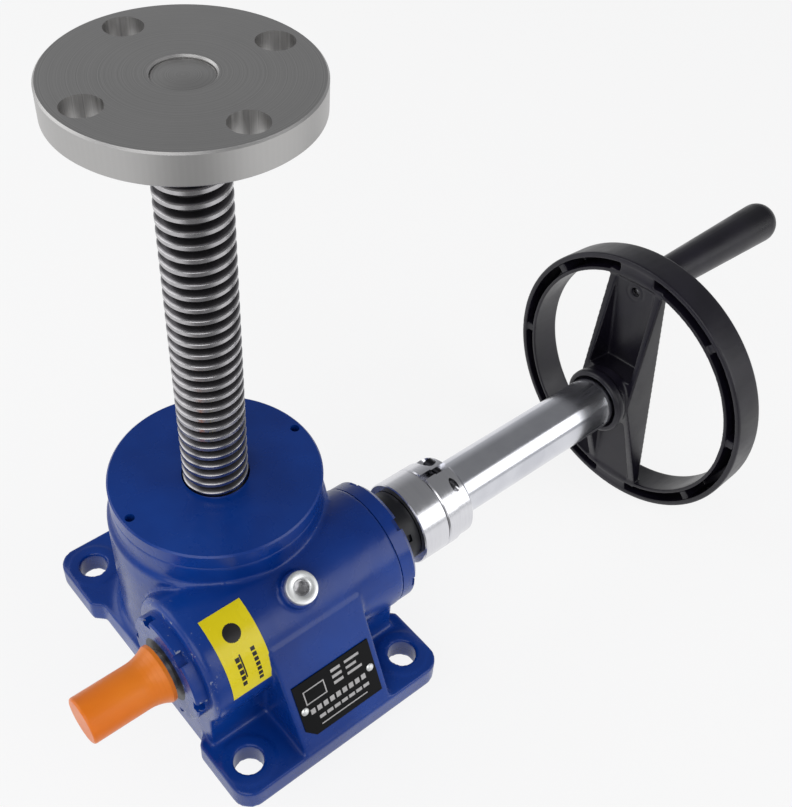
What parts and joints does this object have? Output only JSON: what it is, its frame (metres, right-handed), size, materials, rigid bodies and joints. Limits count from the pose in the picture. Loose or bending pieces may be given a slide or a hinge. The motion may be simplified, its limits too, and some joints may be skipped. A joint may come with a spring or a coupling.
{
  "type": "worm screw jack",
  "caption": "Manual worm screw jack: cast gearbox on a bolt-down base, trapezoidal lifting screw with a round top flange, and a spoked hand wheel on a chromed extension tube.",
  "frame": {"origin": "centre of the base bolt pattern on the underside of the base", "axes": "+Z along the lifting screw, upwards; +X along the worm, towards the hand wheel; +Y from the worm towards the screw"},
  "size_m": [0.467, 0.1945, 0.332],
  "materials": {
    "cast_paint": "deep blue gloss paint on cast iron",
    "machined_steel": "turned and ground steel",
    "screw_steel": "dark rolled steel with bright thread crests",
    "bearing_steel": "hardened bearing steel",
    "nut_bronze": "cast tin bronze",
    "cage_brass": "brass cages with steel balls",
    "chrome_plate": "bright chrome plate",
    "zinc_plate": "pale zinc plate",
    "black_plastic": "black moulded plastic",
    "black_rubber": "black nitrile rubber",
    "black_steel": "blackened steel",
    "orange_plastic": "soft orange plastic",
    "label_yellow": "yellow film with black bars",
    "plate_black": "black anodised sheet with pale ruled fields"
  },
  "bodies": {
    "gearbox": {"housing": "cast_paint", "top_cover": "cast_paint", "left_end_cover": "cast_paint", "right_end_cover": "cast_paint", "left_shaft_seal": "black_rubber", "right_seal_collar": "black_rubber", "filler_plug": "zinc_plate", "name_plate": "plate_black", "plate_rivets": "zinc_plate", "warning_label": "label_yellow", "thrust_housing_washers": "bearing_steel", "worm_bearing_outer_rings": "bearing_steel"},
    "worm": {"worm_shaft": "machined_steel", "worm_bearing_inner_rings": "bearing_steel", "extension_tube": "chrome_plate", "coupling_sleeve": "chrome_plate", "clamp_collar": "chrome_plate", "clamp_screw": "black_steel", "coupling_set_screws": "black_steel", "wheel_stub": "machined_steel", "hub_key": "machined_steel", "hand_wheel": "black_plastic", "hub_washer": "zinc_plate", "hub_bolt": "zinc_plate", "grip_spindle": "machined_steel", "grip_washer": "zinc_plate"},
    "nut_wheel": {"worm_wheel": "nut_bronze", "thrust_shaft_washers": "bearing_steel"},
    "lower_thrust_cage": {"lower_thrust_balls": "cage_brass"},
    "upper_thrust_cage": {"upper_thrust_balls": "cage_brass"},
    "left_bearing_cage": {"left_bearing_balls": "cage_brass"},
    "right_bearing_cage": {"right_bearing_balls": "cage_brass"},
    "screw": {"lifting_screw": "screw_steel", "top_flange": "machined_steel", "stop_washer": "machined_steel", "stop_bolt": "zinc_plate"},
    "grip": {"revolving_grip": "black_plastic"},
    "cap": {"shaft_cap": "orange_plastic"}
  },
  "joints": [
    {"name": "worm_spin", "type": "hinge", "parent": "gearbox", "child": "worm", "pos_m": [0, -0.0285, 0.0526], "axis": [1, 0, 0], "range_deg": [-266400, 4320]},
    {"name": "nut_spin", "type": "hinge", "parent": "gearbox", "child": "nut_wheel", "pos_m": [0, 0.017, 0.0526], "axis": [0, 0, 1], "range_deg": [-180.18, 11111.1]},
    {"name": "screw_lift", "type": "slide", "parent": "gearbox", "child": "screw", "axis": [0, 0, 1], "range_m": [-0.18509, 0.003]},
    {"name": "lower_thrust_roll", "type": "hinge", "parent": "gearbox", "child": "lower_thrust_cage", "pos_m": [0, 0.017, 0.0255], "axis": [0, 0, 1], "range_deg": [-90.09, 5555.55]},
    {"name": "upper_thrust_roll", "type": "hinge", "parent": "gearbox", "child": "upper_thrust_cage", "pos_m": [0, 0.017, 0.0797], "axis": [0, 0, 1], "range_deg": [-90.09, 5555.55]},
    {"name": "left_bearing_roll", "type": "hinge", "parent": "gearbox", "child": "left_bearing_cage", "pos_m": [-0.046, -0.0285, 0.0526], "axis": [1, 0, 0], "range_deg": [-101492.44, 1645.82]},
    {"name": "right_bearing_roll", "type": "hinge", "parent": "gearbox", "child": "right_bearing_cage", "pos_m": [0.0435, -0.0285, 0.0526], "axis": [1, 0, 0], "range_deg": [-101492.44, 1645.82]},
    {"name": "grip_turn", "type": "hinge", "parent": "worm", "child": "grip", "pos_m": [0.3, -0.02041, 0.11407], "axis": [1, 0, 0], "continuous": true},
    {"name": "cap_pull", "type": "slide", "parent": "gearbox", "child": "cap", "axis": [-1, 0, 0], "range_m": [0, 0.045]}
  ],
  "couplings": [
    {"joint": "nut_spin", "follows": "worm_spin", "ratio": -0.041667},
    {"joint": "screw_lift", "follows": "worm_spin", "m_per_rad": 0.000039789},
    {"joint": "lower_thrust_roll", "follows": "worm_spin", "ratio": -0.020833},
    {"joint": "upper_thrust_roll", "follows": "worm_spin", "ratio": -0.020833},
    {"joint": "left_bearing_roll", "follows": "worm_spin", "ratio": 0.3806},
    {"joint": "right_bearing_roll", "follows": "worm_spin", "ratio": 0.3806}
  ]
}
